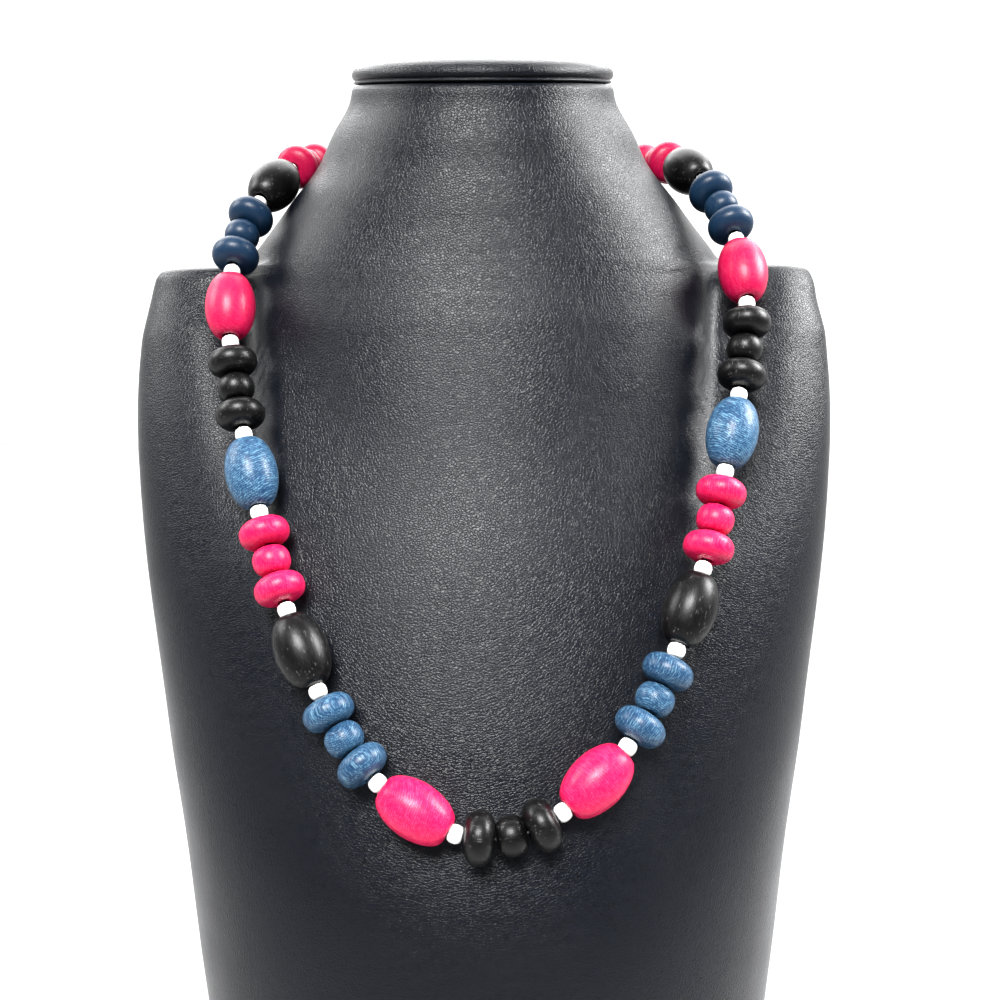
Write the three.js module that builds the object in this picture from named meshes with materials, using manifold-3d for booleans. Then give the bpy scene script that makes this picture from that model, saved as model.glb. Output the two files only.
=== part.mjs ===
// A long wooden bead necklace lying on a padded neck bust.
// Millimetres, +Z up. The bust stands on z = 0, faces -Y, and its left is -X.
// The necklace is one closed loop. Bead groups count from the lowest one, number 0, up both sides
// of the chest to the single oval at the back of the neck.

import * as THREE from 'three';
import { mergeVertices } from 'three/addons/utils/BufferGeometryUtils.js';
import Module from 'manifold-3d';

const wasm = await Module();
wasm.setup();

// ---- driving dimensions -------------------------------------------------------------------------

const GAP = 0.3; // air between two pieces that meet end to end
const BEAD_GAP = 0.6; // and between neighbours on the string, where it bends

// Beads: length along the thread, greatest radius, and radius of the flat round the drilled hole.
const BORE_R = 1.6;
const OVAL = { length: 25.2, radius: 9.0, rim: 3.8, swell: 2.1, steps: 6 };
const DISC = { length: 9.7, radius: 8.7, rim: 2.0, swell: 2.2, steps: 5 };
const ROUND = { length: 9.6, radius: 6.5, rim: 2.0, swell: 2.2, steps: 4 };
const WHITE = { length: 4.8, radius: 3.0, rim: 1.8, swell: 2.2, steps: 3 };
const MOUTH_DEPTH = 2.0; // countersink in each end of an oval
const NEST = 0.7; // how far a white bead sinks into that countersink
const THREAD_R = 0.5;

const OVALS_PER_SIDE = 6; // and one more, alone at the back of the neck
const LOOSE_TRIOS = 4; // trios per side whose beads are pieces of their own; the rest are joined
const FIRST_BEAD_SHIFT = 7.2; // the lowest round bead sits this far along the string from its low point
const HANG_X = 2.0; // the string hangs this far to the right of the bust's centre line
const ASKEW_DEG = 3.0; // the bores are loose, so beads sit up to this much askew

const BEAD_SIDES = 10;
const ROUND_SIDES = 8;
const WHITE_SIDES = 6;
const THREAD_SIDES = 4;
const THREAD_STEP = 8; // length of one straight stretch of the thread's tube

// Where the thread runs, as half of a loop that is the same on both sides: from the low point
// across the chest and the top of the shoulder, then free in the air to the side of the neck,
// and round the back of it.
const ROUTE = table(['x', 'y', 'z'], [
  [0, -87.4, 118.8],
  [13.5, -86.4, 121],
  [26, -83, 127.6],
  [38.5, -78.5, 137],
  [55, -67.5, 159],
  [67, -56, 184],
  [76.5, -44, 209.5],
  [84, -31.5, 236],
  [90.5, -19, 262],
  [94.5, -7, 289],
  [93.4, 10, 313.5],
  [86, 29.5, 334.5],
  [79, 50, 346],
  [71, 81, 352],
  [46.5, 110, 352],
  [0, 124, 350],
]);

// Level sections through the shoulders and chest: half width, front, widest line and back.
const TORSO = table(['z', 'half', 'front', 'side', 'back'], [
  [0, 107.4, -92, 10, 92],
  [45, 112.4, -92, 10, 96],
  [90, 117.3, -86, 11, 99],
  [120, 121.7, -77, 11, 101],
  [147, 125.1, -68.5, 12, 103],
  [172, 128.2, -59, 12, 104],
  [197, 130.9, -48.5, 12, 105],
  [222, 133.2, -37, 14, 106],
  [249, 134.8, -24, 17, 106],
  [276, 133.8, -11.5, 22, 105],
  [290, 131.6, -2, 26, 103],
  [299, 130, 3.4, 29, 101],
  [303, 128.5, 7, 31, 98],
  [304.5, 126.5, 9, 33, 95],
  [306, 70, 34, 42, 60],
]);

// Level sections through the neck and the breast that it runs down into. Rake tips a section
// down towards the front.
const NECK = table(['z', 'half', 'front', 'side', 'back', 'rake'], [
  [0, 60, -40, 30, 70, 0],
  [172, 95, -54, 38, 92, 0],
  [197, 101, -49.5, 42, 96, 0],
  [222, 106, -41.5, 48, 99, 0],
  [249, 106, -33.5, 54, 101, 0],
  [276, 106.5, -27, 58, 102, 0],
  [292, 104.5, -22.5, 59, 104, 0],
  [303, 100.6, -19.5, 58, 107, 0],
  [314, 91.4, -17, 56, 110, 0],
  [325.5, 81.9, -15, 53, 112, 1],
  [333, 75.6, -14, 50, 112.5, 3],
  [340, 69.6, -13, 49, 112, 5],
  [348, 64, -12, 47, 110, 7],
  [357, 60, -11, 47, 107, 9],
  [365, 55, -9, 46, 103, 10.5],
  [371, 52, -8, 46, 100, 11],
  [375.5, 51, -7.5, 46, 99, 11],
]);

// The padded cap: how far out its skin is at each height, as a share of the neck's top.
const CAP = table(['z', 'out'], [
  [376, 0.985],
  [377.3, 1.02],
  [380.3, 1.0],
  [383, 0.88],
  [384.8, 0.62],
  [385.5, 0.3],
]);

// Heights of the bust's rings, closer together where its shape turns quickly.
const BUST_RINGS = table(['from', 'to', 'steps'], [
  [0, 90, 4],
  [90, 276, 11],
  [276, 300, 4],
  [300, 306, 4],
  [306, 318, 2],
  [318, 375.5, 8],
]);
const BUST_SIDES = 48;
const SIDE_CROWDING = 1.8; // draws a ring's points together towards the shoulder ends
const TORSO_TOP = TORSO.at(-1).z;
// Section roundness: 2 is an ellipse, more is squarer.
const TORSO_POWER = { front: 2.0, back: 2.6 };
const NECK_POWER = { front: 2.1, back: 2.1 };
const BLEND = 12; // how sharply the neck meets the shoulders
const AXIS_Y = 38; // the upright line that every section is seen from

// ---- finishes ------------------------------------------------------------------------------------

const FINISHES = {
  leatherette: new THREE.MeshStandardMaterial({ color: 0x1d2027, roughness: 0.55, metalness: 0 }),
  pink_wood: new THREE.MeshStandardMaterial({ color: 0xe0106a, roughness: 0.4, metalness: 0 }),
  blue_wood: new THREE.MeshStandardMaterial({ color: 0x35597f, roughness: 0.4, metalness: 0 }),
  black_wood: new THREE.MeshStandardMaterial({ color: 0x18181a, roughness: 0.45, metalness: 0 }),
  white_bead: new THREE.MeshStandardMaterial({ color: 0xf1efea, roughness: 0.2, metalness: 0 }),
};

// Both sides repeat these colours from the lowest trio outwards.
const TRIO_COLOURS = ['black_wood', 'blue_wood', 'pink_wood'];
const OVAL_COLOURS = ['blue_wood', 'pink_wood', 'black_wood'];

// ---- small helpers -------------------------------------------------------------------------------

function table(columns, rows) {
  return rows.map((row) => Object.fromEntries(columns.map((column, i) => [column, row[i]])));
}

// A column of a table at any height, as a smooth curve through its rows.
function columnAt(rows, column, z) {
  let i = rows.findIndex((row) => row.z > z) - 1;
  if (i < 0) {
    i = z < rows[0].z ? 0 : rows.length - 2;
  }
  const slope = (k) => {
    const a = rows[Math.max(k - 1, 0)];
    const b = rows[Math.min(k + 1, rows.length - 1)];
    return (b[column] - a[column]) / (b.z - a.z);
  };
  const [low, high] = [rows[i], rows[i + 1]];
  const span = high.z - low.z;
  const t = (z - low.z) / span;
  const start = (2 * t ** 3 - 3 * t ** 2 + 1) * low[column] + (t ** 3 - 2 * t ** 2 + t) * span * slope(i);
  const end = (3 * t ** 2 - 2 * t ** 3) * high[column] + (t ** 3 - t ** 2) * span * slope(i + 1);
  return start + end;
}

function weld(geometry) {
  const bare = geometry.clone();
  bare.deleteAttribute('normal');
  bare.deleteAttribute('uv');
  return mergeVertices(bare, 1e-4);
}

function toSolid(geometry) {
  const welded = weld(geometry);
  return new wasm.Manifold(new wasm.Mesh({
    numProp: 3,
    vertProperties: new Float32Array(welded.attributes.position.array),
    triVerts: new Uint32Array(welded.index.array),
  }));
}

function fromSolid(solid) {
  const { vertProperties, triVerts } = solid.getMesh();
  const geometry = new THREE.BufferGeometry();
  geometry.setAttribute('position', new THREE.BufferAttribute(vertProperties, 3));
  geometry.setIndex(new THREE.BufferAttribute(triVerts, 1));
  geometry.computeVertexNormals();
  return geometry;
}

function addPiece(group, name, geometry, finish) {
  const mesh = new THREE.Mesh(geometry, FINISHES[finish]);
  mesh.name = name;
  group.add(mesh);
  return mesh;
}

// ---- bust ----------------------------------------------------------------------------------------

// 1 on the skin of a rounded section, less inside it and more outside.
function sectionValue(x, y, half, front, side, back, power) {
  const [depth, round] = y < side ? [side - front, power.front] : [back - side, power.back];
  return (Math.abs(x) / half) ** round + (Math.abs(y - side) / depth) ** round;
}

function valueIn(rows, power, x, y, z) {
  const [half, front, side, back] = ['half', 'front', 'side', 'back'].map((c) => columnAt(rows, c, z));
  return sectionValue(x, y, half, front, side, back, power);
}

// Neck and torso flow into each other where both are there.
function bustValue(x, y, z) {
  if (z > TORSO_TOP) {
    return valueIn(NECK, NECK_POWER, x, y, z);
  }
  const neck = valueIn(NECK, NECK_POWER, x, y, z);
  const torso = valueIn(TORSO, TORSO_POWER, x, y, z);
  return -Math.log(Math.exp(-BLEND * neck) + Math.exp(-BLEND * torso)) / BLEND;
}

// How far the skin is from the upright line, in the direction (dx, dy) at height z.
function skinReach(dx, dy, z) {
  let [inner, outer] = [0, 200];
  for (let i = 0; i < 40; i += 1) {
    const middle = (inner + outer) / 2;
    if (bustValue(dx * middle, AXIS_Y + dy * middle, z) < 1) {
      inner = middle;
    } else {
      outer = middle;
    }
  }
  return inner;
}

// One ring of the bust's skin, raked as the neck is.
function bustRing(z, share = 1, skinZ = z) {
  const rake = Math.tan(THREE.MathUtils.degToRad(columnAt(NECK, 'rake', Math.min(skinZ, NECK.at(-1).z))));
  const ring = [];
  for (let i = 0; i < BUST_SIDES; i += 1) {
    const turn = (2 * Math.PI * i) / BUST_SIDES;
    const [dx, dy] = [SIDE_CROWDING * Math.cos(turn), Math.sin(turn)];
    const size = Math.hypot(dx, dy);
    const reach = share * skinReach(dx / size, dy / size, skinZ);
    const y = (dy / size) * reach;
    ring.push(new THREE.Vector3((dx / size) * reach, AXIS_Y + y, z + y * rake));
  }
  return ring;
}

// A closed skin over a stack of rings, with a point in the middle of each end.
function skinOver(rings) {
  const sides = rings[0].length;
  const middleOf = (ring) => ring.reduce((sum, p) => sum.add(p), new THREE.Vector3()).divideScalar(sides);
  const points = [...rings.flat(), middleOf(rings[0]), middleOf(rings.at(-1))];
  const [bottom, top] = [points.length - 2, points.length - 1];
  const last = (rings.length - 1) * sides;
  const faces = [];
  for (let i = 0; i < sides; i += 1) {
    const next = (i + 1) % sides;
    faces.push(bottom, next, i, top, last + i, last + next);
    for (let row = 0; row < last; row += sides) {
      faces.push(row + i, row + next, row + sides + next, row + i, row + sides + next, row + sides + i);
    }
  }
  const geometry = new THREE.BufferGeometry().setFromPoints(points);
  geometry.setIndex(faces);
  geometry.computeVertexNormals();
  return geometry;
}

function makeBust(group) {
  const heights = BUST_RINGS.flatMap(({ from, to, steps }, row) => {
    const first = row > 0 && BUST_RINGS[row - 1].to === from ? 1 : 0;
    return Array.from({ length: steps + 1 - first }, (_, i) => from + ((to - from) * (i + first)) / steps);
  });
  addPiece(group, 'bust_body', skinOver(heights.map((z) => bustRing(z))), 'leatherette');
  const topZ = NECK.at(-1).z;
  addPiece(group, 'neck_cap', skinOver(CAP.map(({ z, out }) => bustRing(z, out, topZ))), 'leatherette');
}

// ---- beads ---------------------------------------------------------------------------------------

// The outside of a bead from one end to the other, as distance from the thread and along it.
function beadOutline({ length, radius, rim, swell, steps }) {
  return Array.from({ length: steps + 1 }, (_, i) => {
    const along = Math.sin((i / steps - 0.5) * Math.PI);
    const out = (1 - Math.abs(along) ** swell) ** (1 / swell);
    return new THREE.Vector2(rim + (radius - rim) * out, (along * length) / 2);
  });
}

function drilledBead(kind, sides, mouth = 0) {
  const outline = beadOutline(kind);
  const inner = kind.length / 2 - mouth;
  const bore = [new THREE.Vector2(BORE_R, inner), new THREE.Vector2(BORE_R, -inner)];
  return new THREE.LatheGeometry([...outline, ...bore, outline[0]], sides);
}

function solidBead(kind, sides) {
  const outline = beadOutline(kind);
  const ends = [new THREE.Vector2(0, -kind.length / 2), new THREE.Vector2(0, kind.length / 2)];
  return new THREE.LatheGeometry([ends[0], ...outline, ends[1]], sides);
}

const UP = new THREE.Vector3(0, 1, 0);

// ---- stringing -----------------------------------------------------------------------------------

function makeRoute() {
  const right = ROUTE.map(({ x, y, z }) => new THREE.Vector3(HANG_X + x, y, z));
  const left = ROUTE.slice(1, -1).map(({ x, y, z }) => new THREE.Vector3(HANG_X - x, y, z)).reverse();
  const loop = new THREE.CatmullRomCurve3([...right, ...left], true, 'centripetal');
  loop.arcLengthDivisions = 2000;
  return loop;
}

// The length of thread that each kind of bead takes up.
const ROOM = {
  oval: OVAL.length - 2 * NEST + GAP,
  disc: DISC.length + BEAD_GAP,
  round: ROUND.length + BEAD_GAP,
  white: WHITE.length + BEAD_GAP,
};
const REPEAT = ROOM.oval + 2 * ROOM.white + 2 * ROOM.disc + ROOM.round;
const LOOP_LENGTH = REPEAT * (2 * OVALS_PER_SIDE + 1);

// The whole string in order: it starts at the lowest round bead and goes up the right side, over
// the back and down the left. Each bead knows its group's number and its side.
function beadOrder() {
  const beads = [{ kind: 'round', group: 0, side: '' }];
  const trioSide = (group, side, first, second) => {
    beads.push({ kind: 'disc', group, side, end: first });
    beads.push({ kind: 'round', group, side });
    beads.push({ kind: 'disc', group, side, end: second });
  };
  const ovalWithWhites = (group, side) => {
    beads.push({ kind: 'white', group, side });
    beads.push({ kind: 'oval', group, side });
    beads.push({ kind: 'white', group, side });
  };
  beads.push({ kind: 'disc', group: 0, side: 'right' });
  for (let group = 1; group <= OVALS_PER_SIDE; group += 1) {
    ovalWithWhites(group, 'right');
    trioSide(group, 'right', 'a', 'b');
  }
  ovalWithWhites(OVALS_PER_SIDE + 1, 'back');
  for (let group = OVALS_PER_SIDE; group >= 1; group -= 1) {
    trioSide(group, 'left', 'b', 'a');
    ovalWithWhites(group, 'left');
  }
  beads.push({ kind: 'disc', group: 0, side: 'left' });
  return beads;
}


// Gives each bead the two points of the thread where it starts and ends.
function stringBeads() {
  const route = makeRoute();
  const stretch = route.getLength() / LOOP_LENGTH;
  let place = FIRST_BEAD_SHIFT - ROOM.round / 2;
  const pointAt = (length) => route.getPointAt((((length * stretch) / route.getLength()) + 1) % 1);
  return beadOrder().map((bead) => {
    const from = pointAt(place);
    place += ROOM[bead.kind];
    return { ...bead, from, to: pointAt(place) };
  });
}

// Turns and moves a bead made along Y to where it is strung.
function placeBead(object, { from, to }, askew = 0) {
  const axis = to.clone().sub(from).normalize();
  object.position.copy(from).add(to).divideScalar(2);
  object.quaternion.setFromUnitVectors(UP, axis);
  object.rotateZ(THREE.MathUtils.degToRad(askew));
  return object;
}

function threadAlong(points) {
  const path = new THREE.CurvePath();
  for (let i = 1; i < points.length; i += 1) {
    path.add(new THREE.LineCurve3(points[i - 1], points[i]));
  }
  const section = new THREE.Shape();
  for (let i = 0; i < THREAD_SIDES; i += 1) {
    const turn = (2 * Math.PI * i) / THREAD_SIDES;
    section[i ? 'lineTo' : 'moveTo'](THREAD_R * Math.cos(turn), THREAD_R * Math.sin(turn));
  }
  const steps = Math.max(2, Math.round(path.getLength() / THREAD_STEP));
  return new THREE.ExtrudeGeometry(section, { steps, extrudePath: path, bevelEnabled: false });
}

// A stretch of thread with solid beads threaded on it, as one piece.
function beadsOnThread(points, beads) {
  let piece = toSolid(threadAlong(points));
  for (const { kind, sides, bead } of beads) {
    const holder = placeBead(new THREE.Object3D(), bead);
    holder.updateMatrix();
    piece = piece.add(toSolid(solidBead(kind, sides).applyMatrix4(holder.matrix)));
  }
  return fromSolid(piece);
}

function pieceName(word, { group, side, end }) {
  return [word, group, side, end].filter((part) => part !== '' && part !== undefined).join('_');
}

// ---- the necklace --------------------------------------------------------------------------------

function makeNecklace(group) {
  const beads = stringBeads();
  const near = (i) => beads[(i + beads.length) % beads.length];
  const shapes = {
    oval: drilledBead(OVAL, BEAD_SIDES, MOUTH_DEPTH),
    disc: drilledBead(DISC, BEAD_SIDES),
    round: drilledBead(ROUND, ROUND_SIDES),
  };
  const middle = ({ from, to }) => from.clone().add(to).divideScalar(2);
  const inset = (end, other) => end.clone().lerp(other, GAP / 2 / end.distanceTo(other));

  beads.forEach((bead, i) => {
    const isOval = bead.kind === 'oval';
    const colour = isOval ? OVAL_COLOURS[bead.group % 3] : TRIO_COLOURS[bead.group % 3];
    const joined = bead.group > LOOSE_TRIOS;
    if (isOval || (bead.kind !== 'white' && !joined)) {
      const mesh = addPiece(group, pieceName(bead.kind, bead), shapes[bead.kind], colour);
      placeBead(mesh, bead, isOval || bead.group === 0 ? 0 : ASKEW_DEG * Math.sin(2.4 * i));
    } else if (bead.kind === 'round') {
      const trio = [near(i - 1), bead, near(i + 1)];
      const ends = [trio[0].from, trio[0].to, bead.to, trio[2].to];
      const parts = trio.map((one) => ({
        kind: one.kind === 'disc' ? DISC : ROUND,
        sides: one.kind === 'disc' ? BEAD_SIDES : ROUND_SIDES,
        bead: one,
      }));
      const points = [inset(ends[0], ends[1]), ends[1], ends[2], inset(ends[3], ends[2])];
      addPiece(group, pieceName('trio', bead), beadsOnThread(points, parts), colour);
    }
    if (isOval) {
      // The two white beads on either side, with the thread as far as the middle of each trio.
      const before = near(i - 3).group > LOOSE_TRIOS;
      const after = near(i + 3).group > LOOSE_TRIOS;
      const [first, second] = [near(i - 1), near(i + 1)];
      const points = [first.from, bead.from, bead.to, second.to];
      if (before) {
        points[0] = inset(first.from, bead.from);
      } else {
        points.unshift(inset(middle(near(i - 3)), near(i - 3).to), near(i - 2).from);
      }
      if (after) {
        points[points.length - 1] = inset(second.to, bead.to);
      } else {
        points.push(near(i + 2).to, inset(middle(near(i + 3)), near(i + 3).from));
      }
      const whites = [first, second].map((one) => ({ kind: WHITE, sides: WHITE_SIDES, bead: one }));
      addPiece(group, pieceName('white_pair', bead), beadsOnThread(points, whites), 'white_bead');
    }
  });
}

const model = new THREE.Group();
makeBust(model);
makeNecklace(model);

export default model;
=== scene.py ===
import math
import random

import bmesh
import bpy
import numpy as np
from mathutils import Matrix, Vector


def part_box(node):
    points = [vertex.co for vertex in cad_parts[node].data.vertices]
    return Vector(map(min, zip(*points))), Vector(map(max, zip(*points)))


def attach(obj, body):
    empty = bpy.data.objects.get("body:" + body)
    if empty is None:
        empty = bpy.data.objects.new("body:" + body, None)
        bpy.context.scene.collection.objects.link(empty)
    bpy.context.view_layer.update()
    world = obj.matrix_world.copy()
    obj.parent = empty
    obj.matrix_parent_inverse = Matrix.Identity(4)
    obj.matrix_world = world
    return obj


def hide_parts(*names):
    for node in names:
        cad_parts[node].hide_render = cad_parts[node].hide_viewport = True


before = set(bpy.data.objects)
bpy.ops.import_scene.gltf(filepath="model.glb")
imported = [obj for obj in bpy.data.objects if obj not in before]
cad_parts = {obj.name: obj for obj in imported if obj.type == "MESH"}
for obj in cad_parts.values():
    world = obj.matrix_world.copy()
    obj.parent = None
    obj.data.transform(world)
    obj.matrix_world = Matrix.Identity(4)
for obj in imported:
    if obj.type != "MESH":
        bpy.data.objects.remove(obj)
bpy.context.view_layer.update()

# A wooden bead necklace on a leatherette neck bust. Everything is in metres.
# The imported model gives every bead's place and lean; the beads are turned again here, finer.

MM = 0.001
random.seed(12)

# ---- sizes ---------------------------------------------------------------------------------------

# Each kind of bead: half length, radius, radius of the drilled hole, how round the hole's lip is,
# the swell of the side, and how many steps go along and round it.
BEADS = {
    "oval": dict(half=12.6, radius=9.1, hole=2.7, lip=0.5, swell=1.88, along=22, around=44),
    "disc": dict(half=4.85, radius=8.7, hole=2.2, lip=0.5, swell=2.25, along=16, around=44),
    "round": dict(half=4.8, radius=6.5, hole=2.2, lip=0.5, swell=2.15, along=14, around=36),
    "white": dict(half=2.4, radius=3.05, hole=1.0, lip=0.4, swell=2.25, along=10, around=24),
}
BORE_STEPS = 3
NEST = 0.7 * MM  # how far a white bead sinks into the mouth of an oval's hole
THREAD_RADIUS = 0.5 * MM
WELD = 0.01 * MM  # points closer than this are one

OVALS_PER_SIDE = 6  # and one more, alone at the back of the neck
LOOSE_TRIOS = 4  # trios per side whose beads are nodes of their own

CAP_RAKE = math.radians(11.0)  # the neck's top dips towards the front

# ---- finishes' colours -----------------------------------------------------------------------------

# Dark figure, body colour and pale figure of each dyed wood.
PINK = ((0.30, 0.000, 0.030), (0.56, 0.002, 0.062), (0.74, 0.070, 0.165))
BLUE = ((0.003, 0.013, 0.038), (0.011, 0.044, 0.100), (0.17, 0.32, 0.41))
BLACK = ((0.0005, 0.0005, 0.0006), (0.0012, 0.0012, 0.0015), (0.013, 0.012, 0.012))

TRIO_WOODS = ("black_wood", "blue_wood", "pink_wood")
OVAL_WOODS = ("blue_wood", "pink_wood", "black_wood")

# How deep the dye is in each group: 0 is the darkest, 1 the palest.
OVAL_DEPTH = {1: 0.72, 2: 0.45, 3: 0.95, 4: 0.36, 5: 0.25, 6: 0.5, 7: 0.6}
TRIO_DEPTH = {0: 0.5, 1: 0.62, 2: 0.62, 3: 0.4, 4: 0.05, 5: 0.2, 6: 0.4}
DEPTH_SPREAD = 0.08  # how much the beads of one group differ

CROSS_CUT = 0.3  # share of beads cut across the wood's grain


# ---- mesh helpers --------------------------------------------------------------------------------

def finish_mesh(bm, name, material, smooth=True):
    """Turns a bmesh into an object with one material, its place in its mesh."""
    mesh = bpy.data.meshes.new(name)
    bm.to_mesh(mesh)
    bm.free()
    for face in mesh.polygons:
        face.use_smooth = smooth
    mesh.materials.append(material)
    piece = bpy.data.objects.new(name, mesh)
    bpy.context.scene.collection.objects.link(piece)
    return piece


def declare(piece, slot, *nodes):
    """Hangs a piece from the root and hides the CAD nodes that it stands for; slot is not used."""
    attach(piece, "root")
    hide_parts(*nodes)


def spin_profile(bm, profile, steps):
    """Spins a profile of (radius, height) points a full turn about Z and closes it."""
    verts = [bm.verts.new((r, 0.0, z)) for r, z in profile]
    edges = [bm.edges.new(pair) for pair in zip(verts, verts[1:])]
    bmesh.ops.spin(bm, geom=verts + edges, cent=(0, 0, 0), axis=(0, 0, 1), dvec=(0, 0, 0),
                   angle=math.tau, steps=steps, use_merge=True)
    bmesh.ops.remove_doubles(bm, verts=bm.verts, dist=WELD)
    bmesh.ops.recalc_face_normals(bm, faces=bm.faces)


def merged_copy(node):
    """A welded bmesh of a CAD node, with its triangles paired into four-sided faces."""
    bm = bmesh.new()
    bm.from_mesh(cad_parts[node].data)
    bmesh.ops.remove_doubles(bm, verts=bm.verts, dist=WELD)
    bmesh.ops.join_triangles(bm, faces=bm.faces, angle_face_threshold=math.radians(50),
                             angle_shape_threshold=math.radians(70))
    return bm


def subdivide_live(piece, levels):
    """Adds a subdivision modifier that is left in place."""
    modifier = piece.modifiers.new("smooth", "SUBSURF")
    modifier.levels = levels
    modifier.render_levels = levels
    return modifier


def coordinates(mesh):
    """A mesh's points, one row each."""
    flat = np.empty(3 * len(mesh.vertices))
    mesh.vertices.foreach_get("co", flat)
    return flat.reshape(-1, 3)


def evaluated_mesh(piece):
    """A new mesh of the piece as its modifiers leave it."""
    bpy.context.view_layer.update()
    return bpy.data.meshes.new_from_object(piece.evaluated_get(bpy.context.evaluated_depsgraph_get()))


MOST_SHIFT = 0.8 * MM  # keeps tight corners round
FITTING_ROUNDS = 4


def smooth_through(piece, levels):
    """Subdivides a piece so that its smooth skin still passes through its own points."""
    modifier = subdivide_live(piece, levels)
    wanted = coordinates(piece.data)
    held = wanted.copy()
    for _ in range(FITTING_ROUNDS):
        smoothed = evaluated_mesh(piece)
        held += wanted - coordinates(smoothed)[: len(wanted)]
        held = wanted + np.clip(held - wanted, -MOST_SHIFT, MOST_SHIFT)
        bpy.data.meshes.remove(smoothed)
        piece.data.vertices.foreach_set("co", held.ravel())
        piece.data.update()
    smoothed = evaluated_mesh(piece)
    piece.modifiers.remove(modifier)
    piece.data = smoothed


# ---- material helpers ------------------------------------------------------------------------------

class Nodes:
    """A short way of writing a material's node tree."""

    def __init__(self, name):
        self.material = bpy.data.materials.new(name)
        self.material.use_nodes = True
        self.tree = self.material.node_tree
        self.shader = self.tree.nodes["Principled BSDF"]

    def add(self, kind, inputs=(), **settings):
        node = self.tree.nodes.new(kind)
        for key, value in settings.items():
            setattr(node, key, value)
        for socket, value in dict(inputs).items():
            self.feed(node.inputs[socket], value)
        return node

    def feed(self, socket, value):
        if isinstance(value, bpy.types.NodeSocket):
            self.tree.links.new(value, socket)
        else:
            socket.default_value = value

    def ramp(self, value, *stops):
        node = self.add("ShaderNodeValToRGB", {"Fac": value})
        elements = node.color_ramp.elements
        while len(elements) < len(stops):
            elements.new(0.5)
        for element, (place, colour) in zip(elements, stops):
            element.position = place
            if isinstance(colour, (int, float)):
                colour = (colour,) * 3
            element.color = (*colour, 1.0)
        return node.outputs["Color"]

    def math(self, operation, a, b=0.0):
        return self.add("ShaderNodeMath", {0: a, 1: b}, operation=operation).outputs[0]

    def mix(self, share, a, b):
        node = self.add("ShaderNodeMix", data_type="RGBA")
        for socket, value in zip((node.inputs[0], node.inputs[6], node.inputs[7]), (share, a, b)):
            if isinstance(value, tuple) and len(value) == 3:
                value = (*value, 1.0)
            self.feed(socket, value)
        return node.outputs[2]

    def mapped(self, source, scale, rotation=(0, 0, 0)):
        node = self.add("ShaderNodeMapping", {"Vector": source, "Scale": scale, "Rotation": rotation})
        return node.outputs["Vector"]

    def noise(self, vector, scale, detail, roughness=0.5, out="Fac"):
        node = self.add("ShaderNodeTexNoise", {"Vector": vector, "Scale": scale, "Detail": detail,
                                               "Roughness": roughness})
        return node.outputs[out]

    def pushed(self, vector, scale, reach):
        """The vector carried off its place by soft noise, by up to reach each way."""
        drift = self.noise(vector, scale, 2.0, out="Color")
        push = self.add("ShaderNodeVectorMath", {0: drift, 1: (reach,) * 3}, operation="MULTIPLY").outputs[0]
        return self.add("ShaderNodeVectorMath", {0: vector, 1: push}, operation="ADD").outputs[0]

    def bump(self, height, distance, strength):
        node = self.add("ShaderNodeBump", {"Height": height, "Distance": distance, "Strength": strength})
        return node.outputs["Normal"]

    def set(self, **values):
        for key, value in values.items():
            name = key.replace("_", " ")
            if isinstance(value, tuple) and len(value) == 3:
                value = (*value, 1.0)
            self.feed(self.shader.inputs[name], value)


def make_leatherette():
    """Black leatherette: fine pebbles with creases between them, painted shade darkening the creases, and a
    soft satin sheen.
    """
    n = Nodes("leatherette")
    place = n.add("ShaderNodeTexCoord").outputs["Object"]
    stretched = n.mapped(n.pushed(place, 260.0, 1.6 * MM), (1.0, 1.0, 1.35), (0.0, math.radians(24), 0.0))
    cells = n.add("ShaderNodeTexVoronoi", {"Vector": stretched, "Scale": 900.0}, feature="DISTANCE_TO_EDGE")
    crease = n.ramp(cells.outputs["Distance"], (0.0, 0.0), (0.16, 0.75), (0.42, 1.0))
    fine = n.noise(place, 2600.0, 2.0)
    height = n.mix(0.18, crease, fine)
    patches = n.noise(place, 14.0, 2.0)
    body = n.mix(patches, (0.0012, 0.0020, 0.0046), (0.0020, 0.0030, 0.0062))
    # Painted shade: the colour goes towards near black down in the grain's creases, where shade falls between
    # the pebbles.
    colour = n.mix(n.ramp(crease, (0.0, 1.0), (0.7, 0.0)), body, (0.0008, 0.0009, 0.0013))
    n.set(Base_Color=colour,
          Roughness=n.ramp(n.noise(place, 40.0, 3.0), (0.3, 0.31), (0.7, 0.38)),
          Normal=n.bump(height, 0.3 * MM, 0.34))
    n.set(Specular_IOR_Level=0.18)
    return n.material


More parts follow.
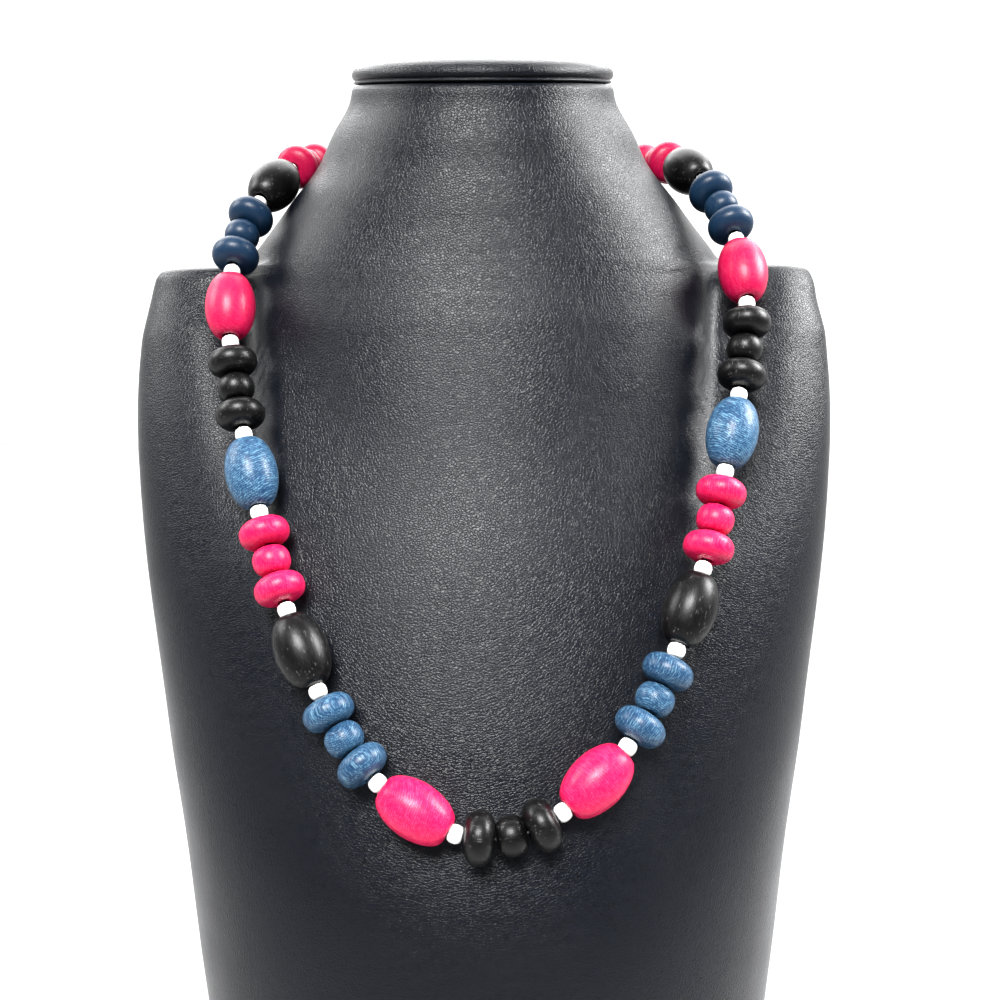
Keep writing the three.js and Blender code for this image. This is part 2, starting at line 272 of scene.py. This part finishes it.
def make_wood(name, tones, pores, gloss):
    """Dyed, satin-varnished wood. Its figure follows each bead's own block of wood."""
    n = Nodes(name)
    dark, body, pale = tones
    block = n.add("ShaderNodeAttribute", attribute_name="block").outputs["Vector"]
    depth = n.add("ShaderNodeAttribute", attribute_name="dye").outputs["Fac"]
    bent = n.pushed(block, 70.0, 5.2 * MM)
    rings = n.add("ShaderNodeTexWave", {"Vector": bent, "Scale": 430.0, "Distortion": 3.0,
                                        "Detail": 3.0, "Detail Scale": 1.6},
                  wave_type="BANDS", bands_direction="X", wave_profile="SIN").outputs["Fac"]
    fibres = n.noise(n.mapped(block, (1.0, 1.0, 0.10)), 3600.0, 3.0, 0.6)
    streaks = n.noise(n.mapped(bent, (1.0, 1.0, 0.12)), 900.0, 2.0, 0.55)
    cloud = n.noise(block, 130.0, 2.0)

    figure = n.mix(0.6, n.mix(0.78, rings, streaks), fibres)
    lit = n.math("MULTIPLY", n.ramp(figure, (0.50, 0.0), (0.62, 1.0)), n.math("MULTIPLY", depth, 0.7))
    sunk = n.math("MULTIPLY", n.ramp(figure, (0.38, 1.0), (0.5, 0.0)), 0.7)
    ground = n.mix(depth, tuple(0.42 * c for c in body), tuple(min(1.0, 1.12 * c) for c in body))
    colour = n.mix(lit, ground, pale)
    colour = n.mix(sunk, colour, dark)
    colour = n.mix(n.math("MULTIPLY", n.ramp(cloud, (0.35, 0.0), (0.75, 1.0)), 0.22), colour, dark)

    dashes = n.add("ShaderNodeTexVoronoi", {"Vector": n.mapped(block, (1.0, 1.0, 0.22)), "Scale": 1150.0},
                   feature="F1").outputs["Distance"]
    pore = n.ramp(dashes, (0.14, 1.0), (0.30, 0.0))
    sparse = n.ramp(n.noise(block, 420.0, 2.0), (0.44, 0.0), (0.56, 1.0))
    open_pore = n.math("MULTIPLY", pore, sparse)
    pore_colour = tuple(min(1.0, 2.6 * c + 0.02) for c in pale) if pores > 0.5 else dark
    colour = n.mix(n.math("MULTIPLY", open_pore, pores), colour, pore_colour)

    height = n.mix(0.5, fibres, n.mix(open_pore, streaks, (0.0, 0.0, 0.0)))
    n.set(Base_Color=colour,
          Roughness=n.ramp(fibres, (0.3, gloss), (0.7, gloss + 0.14)),
          Normal=n.bump(height, 0.12 * MM, 0.5))
    n.set(Specular_IOR_Level=0.16, Coat_Weight=0.08, Coat_Roughness=0.2)
    return n.material


def make_white():
    """Opaque white glass, glossy, with a faint unevenness."""
    n = Nodes("white_bead")
    place = n.add("ShaderNodeTexCoord").outputs["Object"]
    tint = n.mix(n.noise(place, 900.0, 2.0), (0.86, 0.85, 0.82), (0.92, 0.92, 0.90))
    n.set(Base_Color=tint,
          Roughness=n.ramp(n.noise(place, 1500.0, 2.0), (0.3, 0.16), (0.7, 0.26)),
          Normal=n.bump(n.noise(place, 700.0, 1.0), 0.05 * MM, 0.4))
    n.set(Subsurface_Weight=0.15)
    n.shader.inputs["Subsurface Radius"].default_value = (2.0 * MM,) * 3
    return n.material


def make_thread():
    """Waxed black cord, twisted from strands."""
    n = Nodes("thread")
    place = n.add("ShaderNodeTexCoord").outputs["Object"]
    twist = n.add("ShaderNodeTexWave", {"Vector": place, "Scale": 900.0, "Distortion": 1.0},
                  wave_type="BANDS", bands_direction="DIAGONAL").outputs["Fac"]
    n.set(Base_Color=n.mix(twist, (0.010, 0.010, 0.011), (0.035, 0.034, 0.033)),
          Roughness=n.ramp(twist, (0.0, 0.5), (1.0, 0.65)),
          Normal=n.bump(twist, 0.08 * MM, 0.6))
    return n.material


MATERIALS = {
    "leatherette": make_leatherette(),
    "pink_wood": make_wood("pink_wood", PINK, 0.25, 0.34),
    "blue_wood": make_wood("blue_wood", BLUE, 0.35, 0.33),
    "black_wood": make_wood("black_wood", BLACK, 0.8, 0.32),
    "white_bead": make_white(),
    "thread": make_thread(),
}


# ---- the string ------------------------------------------------------------------------------------

def string_order():
    """The wooden beads in order, from the lowest round bead up the right side and down the left."""
    order = [("round", 0, "", "")]
    order.append(("disc", 0, "right", ""))
    for group in range(1, OVALS_PER_SIDE + 1):
        order.append(("oval", group, "right", ""))
        order += [("disc", group, "right", "a"), ("round", group, "right", ""), ("disc", group, "right", "b")]
    order.append(("oval", OVALS_PER_SIDE + 1, "back", ""))
    for group in range(OVALS_PER_SIDE, 0, -1):
        order += [("disc", group, "left", "b"), ("round", group, "left", ""), ("disc", group, "left", "a")]
        order.append(("oval", group, "left", ""))
    order.append(("disc", 0, "left", ""))
    return order


def node_name(kind, group, side, end):
    return "_".join(str(part) for part in (kind, group, side, end) if part != "")


def node_patches(node):
    """The middle and the area of each face of a CAD node."""
    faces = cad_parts[node].data.polygons
    return np.array([(*face.center, face.area) for face in faces])


def seat_of(patches, longest):
    """The middle of a turned bead and the line it is drilled along, from (middle, area) patches."""
    places, areas = patches[:, :3], patches[:, 3:]
    middle = (places * areas).sum(axis=0) / areas.sum()
    centred = places - middle
    values, vectors = np.linalg.eigh((centred * areas).T @ centred)
    axis = vectors[:, -1 if longest else 0]
    return Vector(middle), Vector(axis)


def trio_seats(node):
    """The three beads of a joined trio, from one end to the other."""
    patches = node_patches(node)
    middle, line = seat_of(patches, True)
    along = (patches[:, :3] - np.array(middle)) @ np.array(line)
    third = (along.max() - along.min()) / 6
    parts = [patches[along < -third], patches[abs(along) < third], patches[along > third]]
    return [seat_of(part, False) for part in parts]


class Bead:
    """One wooden bead: where it sits, which way it is drilled, and the node it belongs to."""

    def __init__(self, kind, group, side, end):
        self.kind, self.group, self.side, self.end = kind, group, side, end
        self.joined = kind != "oval" and group > LOOSE_TRIOS
        self.node = f"trio_{group}_{side}" if self.joined else node_name(kind, group, side, end)
        self.half = BEADS[kind]["half"] * MM
        if not self.joined:
            self.middle, self.axis = seat_of(node_patches(self.node), kind == "oval")

    def wood(self):
        return (OVAL_WOODS if self.kind == "oval" else TRIO_WOODS)[self.group % 3]

    def dye(self):
        depth = (OVAL_DEPTH if self.kind == "oval" else TRIO_DEPTH)[self.group]
        return min(1.0, max(0.0, depth + random.uniform(-DEPTH_SPREAD, DEPTH_SPREAD)))

    def end_towards(self, sign):
        return self.middle + sign * self.half * self.axis


def seat_joined(beads):
    """Gives the beads of the joined trios their seats, nearest the last seated bead first."""
    for i, bead in enumerate(beads):
        if bead.joined and bead.kind == "disc" and beads[i + 1].kind == "round":
            seats = trio_seats(bead.node)
            last = beads[i - 1].middle
            if (seats[0][0] - last).length > (seats[2][0] - last).length:
                seats.reverse()
            for one, (middle, axis) in zip(beads[i:i + 3], seats):
                one.middle, one.axis = middle, axis


def face_along(beads):
    """Turns every bead's axis to point along the string."""
    for i, bead in enumerate(beads):
        ahead = beads[(i + 1) % len(beads)].middle - beads[i - 1].middle
        if bead.axis.dot(ahead) < 0:
            bead.axis = -bead.axis


def bead_profile(half, radius, hole, lip, swell, along, **_):
    """Closed outline of a drilled bead, as (radius, height) points: side, lip, bore and lip."""
    rim = hole + lip
    points = []
    for i in range(along + 1):
        t = math.sin((i / along - 0.5) * math.pi)
        out = (1 - abs(t) ** swell) ** (1 / swell)
        points.append((rim + (radius - rim) * out, half * t))
    for sign in (1, -1):
        points.append((hole + 0.25 * lip, sign * (half - 0.25 * lip)))
        points.append((hole, sign * (half - lip)))
        if sign == 1:
            for i in range(1, BORE_STEPS):
                points.append((hole, (half - lip) * (1 - 2 * i / BORE_STEPS)))
    points[-2:] = [points[-1], points[-2]]
    points.append(points[0])
    return [(r * MM, z * MM) for r, z in points]


def turn_bead(bm, kind, middle, axis, dye):
    """Turns one bead into bm, with its own block of wood and depth of dye, and seats it."""
    single = bmesh.new()
    spin_profile(single, bead_profile(**BEADS[kind]), BEADS[kind]["around"])
    block = single.verts.layers.float_vector.new("block")
    depth = single.verts.layers.float.new("dye")
    turn = Matrix.Rotation(random.uniform(0, math.tau), 3, "Z")
    if random.random() < CROSS_CUT:
        turn = Matrix.Rotation(math.radians(random.uniform(60, 90)), 3, "Y") @ turn
    shift = Vector([random.uniform(-0.3, 0.3) for _ in range(3)])
    seat = Matrix.Translation(middle) @ axis.to_track_quat("Z", "Y").to_matrix().to_4x4()
    for vert in single.verts:
        vert[block] = turn @ vert.co + shift
        vert[depth] = dye
    bmesh.ops.transform(single, matrix=seat, verts=single.verts)
    part = bpy.data.meshes.new("part")
    single.to_mesh(part)
    single.free()
    bm.from_mesh(part)
    bpy.data.meshes.remove(part)


def make_wooden_beads(beads):
    by_node = {}
    for bead in beads:
        by_node.setdefault(bead.node, []).append(bead)
    for node, group in by_node.items():
        bm = bmesh.new()
        for bead in group:
            turn_bead(bm, bead.kind, bead.middle, bead.axis, bead.dye())
        piece = finish_mesh(bm, f"{node}_turned", MATERIALS[group[0].wood()])
        declare(piece, group[0].wood(), node)


def white_seat(before, after):
    """A white bead's middle and axis, between the facing ends of its two neighbours."""
    start = before.end_towards(1) - (NEST * before.axis if before.kind == "oval" else Vector())
    stop = after.end_towards(-1) + (NEST * after.axis if after.kind == "oval" else Vector())
    return (start + stop) / 2, (stop - start).normalized()


def make_white_beads(beads):
    knots = []
    for i, bead in enumerate(beads):
        previous, following = beads[i - 1], beads[(i + 1) % len(beads)]
        if bead.kind == "oval":
            node = f"white_pair_{bead.group}_{bead.side}"
            bm = bmesh.new()
            for seat in (white_seat(previous, bead), white_seat(bead, following)):
                turn_bead(bm, "white", *seat, 1.0)
            declare(finish_mesh(bm, f"{node}_glass", MATERIALS["white_bead"]), "white_bead", node)
        if "oval" in (previous.kind, bead.kind):
            knots.append(white_seat(previous, bead)[0])
        knots += [bead.end_towards(-1), bead.end_towards(1)]
    return knots


def make_thread_piece(knots):
    """One closed cord through every bore."""
    curve = bpy.data.curves.new("thread", "CURVE")
    curve.dimensions = "3D"
    curve.bevel_depth = THREAD_RADIUS
    curve.bevel_resolution = 2
    spline = curve.splines.new("POLY")
    spline.points.add(len(knots) - 1)
    for point, place in zip(spline.points, knots):
        point.co = (*place, 1.0)
    spline.use_cyclic_u = True
    holder = bpy.data.objects.new("thread_line", curve)
    bpy.context.scene.collection.objects.link(holder)
    bpy.context.view_layer.update()
    mesh = bpy.data.meshes.new_from_object(holder.evaluated_get(bpy.context.evaluated_depsgraph_get()))
    bpy.data.objects.remove(holder)
    mesh.materials.clear()
    mesh.materials.append(MATERIALS["thread"])
    mesh.shade_smooth()
    piece = bpy.data.objects.new("thread", mesh)
    bpy.context.scene.collection.objects.link(piece)
    nodes = [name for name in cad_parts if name.startswith("white_pair")]
    declare(piece, "thread", *nodes)


def make_necklace():
    beads = [Bead(*item) for item in string_order()]
    seat_joined(beads)
    face_along(beads)
    make_wooden_beads(beads)
    make_thread_piece(make_white_beads(beads))


# ---- the bust --------------------------------------------------------------------------------------

# The groove where the breast meets each shoulder: at each height, how far out it lies and its depth.
VALLEY = (
    (198, 76, 0.0), (216, 79, 2.6), (236, 82, 6.5), (258, 85, 10.0),
    (282, 88, 12.0), (296, 90, 11.0), (303, 91, 6.0), (309, 92, 0.0),
)
BREAST_PASSES = 14  # evens the breast where it runs up into the neck
VALLEY_INNER = 5.0 * MM  # width on the breast's side, which is steep
VALLEY_OUTER = 15.0 * MM  # width on the shoulder's side, which is gentle
VALLEY_BACK = 45.0 * MM  # nothing behind this line is pushed in

BREAST_TOP = (292.0 * MM, 320.0 * MM)  # the heights where the breast is evened
BREAST_BACK = 20.0 * MM  # and how far back

EDGE_TURN = 0.5  # how sharply an edge turns before it is kept crisp
FOOT_CREASE, NECK_CREASE = 0.85, 0.9
FOOT_BAND = 0.05 * MM
NECK_SHARE = 0.9  # edges above this share of the height are the neck's top edge


def valley_depth(place):
    """How far back the groove pushes a point of the bust's front."""
    heights, outs, depths = (np.array(column) * MM for column in zip(*VALLEY))
    middle = np.interp(place.z, heights, outs)
    depth = np.interp(place.z, heights, depths, left=0.0, right=0.0)
    away = abs(place.x) - middle
    width = VALLEY_OUTER if away > 0 else VALLEY_INNER
    return depth * math.exp(-(away / width) ** 2)


def make_bust_body():
    """The bust's skin: smoothed, evened over the breast and grooved at the shoulders."""
    bm = merged_copy("bust_body")
    crease = bm.edges.layers.float.new("crease_edge")
    foot = min(v.co.z for v in bm.verts) + FOOT_BAND
    top = max(v.co.z for v in bm.verts)
    for edge in bm.edges:
        slopes = [abs(face.normal.z) for face in edge.link_faces]
        outer = max(slopes) - min(slopes) > EDGE_TURN
        if outer and max(v.co.z for v in edge.verts) < foot:
            edge[crease] = FOOT_CREASE
        elif outer and min(v.co.z for v in edge.verts) > NECK_SHARE * top:
            edge[crease] = NECK_CREASE
    piece = finish_mesh(bm, "bust_skin", MATERIALS["leatherette"])
    smooth_through(piece, 2)
    skin = bmesh.new()
    skin.from_mesh(piece.data)
    low, high = BREAST_TOP
    breast = [v for v in skin.verts if low < v.co.z < high and v.co.y < BREAST_BACK]
    for _ in range(BREAST_PASSES):
        bmesh.ops.smooth_vert(skin, verts=breast, factor=0.5,
                              use_axis_x=False, use_axis_y=True, use_axis_z=False)
    for vert in skin.verts:
        if vert.co.y < VALLEY_BACK:
            vert.co.y += valley_depth(vert.co)
        vert.co.z = max(vert.co.z, 0.0)
    skin.to_mesh(piece.data)
    skin.free()
    piece.data.shade_smooth()
    declare(piece, "leatherette", "bust_body")


# The cap is stuffed tight, so only its rim is soft.
CAP_STEPS = 72

# The padded cap's outline: how far inside its edge, and how high, from its underside to its middle.
CAP_OUTLINE = (
    (2.2, 0.0), (1.0, 0.2), (0.7, 0.7), (0.9, 1.2), (1.5, 1.5),
    (0.6, 1.9), (0.0, 2.8), (0.0, 4.4), (0.9, 6.2), (3.4, 7.7), (9.0, 8.8), (24.0, 9.4), (60.0, 9.5),
)


def make_neck_cap():
    """The cap: turned round, then drawn out to the neck's oval and raked like the neck's top."""
    low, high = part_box("neck_cap")
    half_x, half_y = (high.x - low.x) / 2, (high.y - low.y) / 2
    middle = (low + high) / 2
    slope = math.tan(CAP_RAKE)
    levels = [v.co.z - (v.co.y - middle.y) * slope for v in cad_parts["neck_cap"].data.vertices]
    thick = max(levels) - min(levels)
    bm = bmesh.new()
    unit = thick / CAP_OUTLINE[-1][1]
    outline = [(0.0, 0.0)]
    outline += [(half_x - inset * MM, up * unit) for inset, up in CAP_OUTLINE[:-1]]
    outline.append((0.0, thick))
    spin_profile(bm, outline, CAP_STEPS)
    rake = Matrix.Identity(4)
    rake[1][1] = half_y / half_x
    rake[2][1] = slope * rake[1][1]
    place = Matrix.Translation((middle.x, middle.y, min(levels)))
    bmesh.ops.transform(bm, matrix=place @ rake, verts=bm.verts)
    bmesh.ops.recalc_face_normals(bm, faces=bm.faces)
    piece = finish_mesh(bm, "neck_cap_padded", MATERIALS["leatherette"])
    subdivide_live(piece, 1)
    declare(piece, "leatherette", "neck_cap")


# ---- the room --------------------------------------------------------------------------------------

CAMERA_PLACE = Vector((6.0, -450.0, 270.0)) * MM
CAMERA_DIP = math.radians(6.85)
CAMERA_ROLL = math.radians(-0.3)
CAMERA_LENS = 43.2

SENSOR = 36.0

FRONT_GLOW = 0.14
BACK_GLOW = 1.6
LOW_SHARE, HIGH_SHARE = 1.0, 0.2  # the glow's share near the floor and overhead

FLOOR_HALF = 3.4
FLOOR_GREY = 0.44

# Each light: its place, what it points at, its size, its watts and the angle that it spreads over.
LIGHTS = {
    "front": ((-0.12, -0.80, 0.92), (0.0, -0.06, 0.215), (0.6, 0.45), 3.9, 42.0),
    "right": ((0.95, 0.02, 0.85), (0.05, 0.0, 0.25), (0.6, 0.6), 5.0, 50.0),
    "left": ((-0.95, 0.02, 0.85), (-0.05, 0.0, 0.25), (0.6, 0.6), 1.5, 50.0),
    "sweep": ((0.0, 2.0, 2.2), (0.0, 1.8, 0.0), (4.5, 3.0), 280.0, 180.0),
}


def make_floor():
    bm = bmesh.new()
    bmesh.ops.create_grid(bm, x_segments=1, y_segments=1, size=FLOOR_HALF)
    material = bpy.data.materials.new("pale_floor")
    material.use_nodes = True
    shader = material.node_tree.nodes["Principled BSDF"]
    shader.inputs["Base Color"].default_value = (FLOOR_GREY, FLOOR_GREY, FLOOR_GREY, 1.0)
    shader.inputs["Roughness"].default_value = 0.7
    finish_mesh(bm, "floor", material, smooth=False)


def make_world():
    """A bright white sweep behind and beside the bust, dimmer in front of it."""
    world = bpy.data.worlds.new("studio")
    world.use_nodes = True
    tree = world.node_tree
    place = tree.nodes.new("ShaderNodeTexCoord")
    parts = tree.nodes.new("ShaderNodeSeparateXYZ")
    tree.links.new(place.outputs["Generated"], parts.inputs["Vector"])

    def eased(axis, start, stop, first, last):
        """Goes smoothly from first to last as the direction's axis goes from start to stop."""
        node = tree.nodes.new("ShaderNodeMapRange")
        node.interpolation_type = "SMOOTHSTEP"
        for name, value in zip(("From Min", "From Max", "To Min", "To Max"), (start, stop, first, last)):
            node.inputs[name].default_value = value
        tree.links.new(parts.outputs[axis], node.inputs["Value"])
        return node.outputs["Result"]

    glow = tree.nodes.new("ShaderNodeMath")
    glow.operation = "MULTIPLY"
    tree.links.new(eased("Y", -0.35, 0.75, FRONT_GLOW, BACK_GLOW), glow.inputs[0])
    tree.links.new(eased("Z", 0.4, 0.8, LOW_SHARE, HIGH_SHARE), glow.inputs[1])
    tree.links.new(glow.outputs["Value"], tree.nodes["Background"].inputs["Strength"])
    tree.nodes["Background"].inputs["Color"].default_value = (1.0, 1.0, 1.0, 1.0)
    bpy.context.scene.world = world


def make_light(name, place, target, size, power, spread):
    data = bpy.data.lights.new(name, "AREA")
    data.spread = math.radians(spread)
    data.shape = "RECTANGLE"
    data.size, data.size_y = size
    data.energy = power
    light = bpy.data.objects.new(name, data)
    light.location = place
    light.rotation_euler = (Vector(target) - Vector(place)).to_track_quat("-Z", "Y").to_euler()
    bpy.context.scene.collection.objects.link(light)


def make_camera():
    data = bpy.data.cameras.new("camera")
    data.lens = CAMERA_LENS
    data.sensor_width = SENSOR
    data.clip_start = 0.01
    camera = bpy.data.objects.new("camera", data)
    turn = Matrix.Rotation(math.pi / 2 - CAMERA_DIP, 4, "X") @ Matrix.Rotation(CAMERA_ROLL, 4, "Z")
    camera.matrix_world = Matrix.Translation(CAMERA_PLACE) @ turn
    bpy.context.scene.collection.objects.link(camera)
    bpy.context.scene.camera = camera


make_camera()
make_floor()
make_world()
for light_name, settings in LIGHTS.items():
    make_light(light_name, *settings)
bpy.context.scene.view_settings.view_transform = "Standard"
make_bust_body()
make_neck_cap()
make_necklace()
